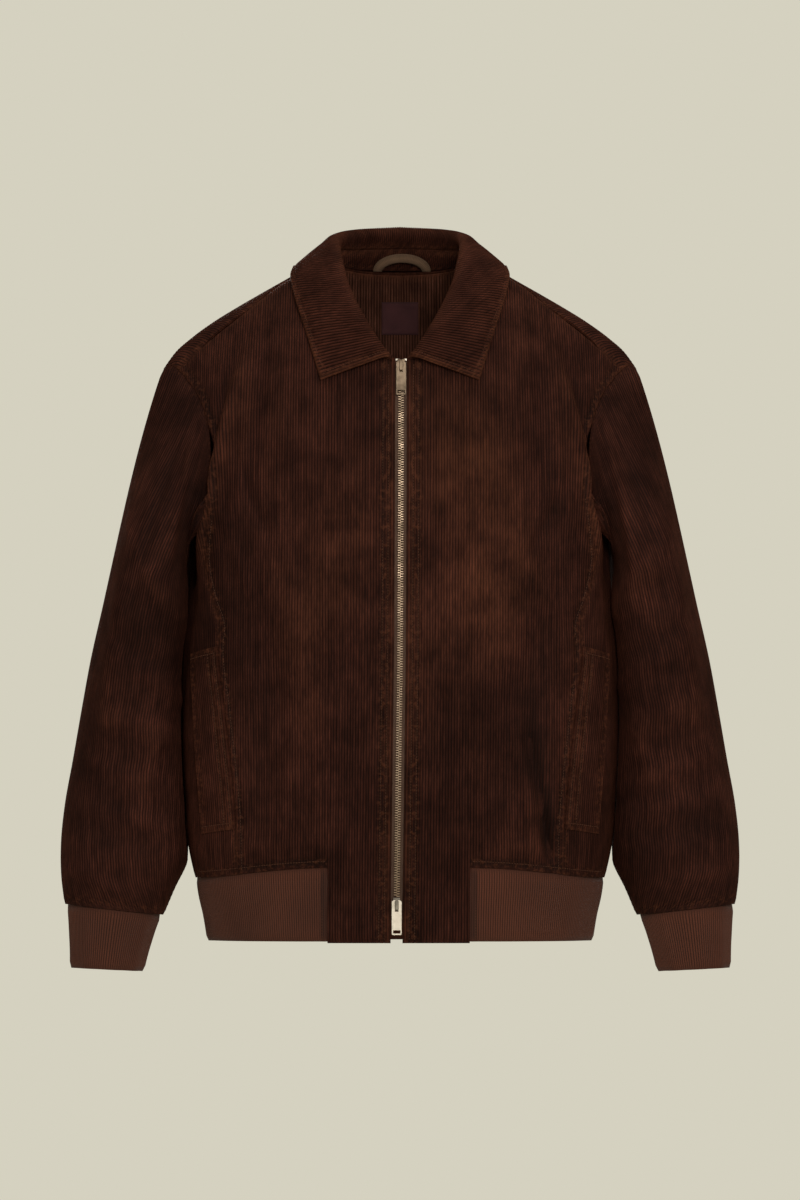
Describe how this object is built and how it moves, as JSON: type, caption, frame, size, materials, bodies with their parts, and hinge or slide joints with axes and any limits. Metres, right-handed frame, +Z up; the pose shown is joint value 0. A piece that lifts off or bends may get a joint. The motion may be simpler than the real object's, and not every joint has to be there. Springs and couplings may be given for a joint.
{
  "type": "corduroy zip jacket",
  "caption": "Collared corduroy blouson jacket, worn form and hollow, with ribbed hem and cuffs, side pockets and a two-way front zip whose pull tabs swing.",
  "frame": {"origin": "middle of the neck at the height of the neck points, where the jacket rests on its wearer", "axes": "+Z up, the front faces -Y, +X to the right of someone looking at the front"},
  "size_m": [0.6792, 0.237, 0.746],
  "materials": {
    "corduroy": "cotton corduroy, 2.8 mm wales, dark reddish brown, soft nap",
    "rib_knit": "knit rib, 2.5 mm pitch, brown, matt",
    "zip_tape": "woven tape, brown",
    "loop_tape": "woven tape, light brown, slight sheen",
    "woven_label": "blank woven label, dark maroon",
    "antique_brass": "antique brass, worn bright at its edges",
    "pale_nickel": "pale polished metal"
  },
  "bodies": {
    "garment": {"back": "corduroy", "back_facing": "corduroy", "bottom_slider": "pale_nickel", "collar_fall": "corduroy", "collar_stand": "corduroy", "cuff_left": "rib_knit", "cuff_right": "rib_knit", "front_left": "corduroy", "front_right": "corduroy", "hanger_loop": "loop_tape", "hem_rib": "rib_knit", "label": "woven_label", "pocket_welt_left": "corduroy", "pocket_welt_right": "corduroy", "side_left": "corduroy", "side_right": "corduroy", "sleeve_left": "corduroy", "sleeve_right": "corduroy", "top_slider": "antique_brass", "zip_chain": "antique_brass", "zip_stop_left": "pale_nickel", "zip_stop_right": "pale_nickel", "zip_tape_left": "zip_tape", "zip_tape_right": "zip_tape"},
    "top_pull": {"top_pull": "antique_brass"},
    "bottom_pull": {"bottom_pull": "pale_nickel"}
  },
  "joints": [
    {"name": "top_pull_hinge", "type": "hinge", "parent": "garment", "child": "top_pull", "pos_m": [0.00114, -0.09083, -0.10354], "axis": [-1, 0, 0], "range_deg": [0, 150]},
    {"name": "bottom_pull_hinge", "type": "hinge", "parent": "garment", "child": "bottom_pull", "pos_m": [-0.00331, -0.11575, -0.64223], "axis": [-1, 0, 0], "range_deg": [-4, 150]}
  ]
}
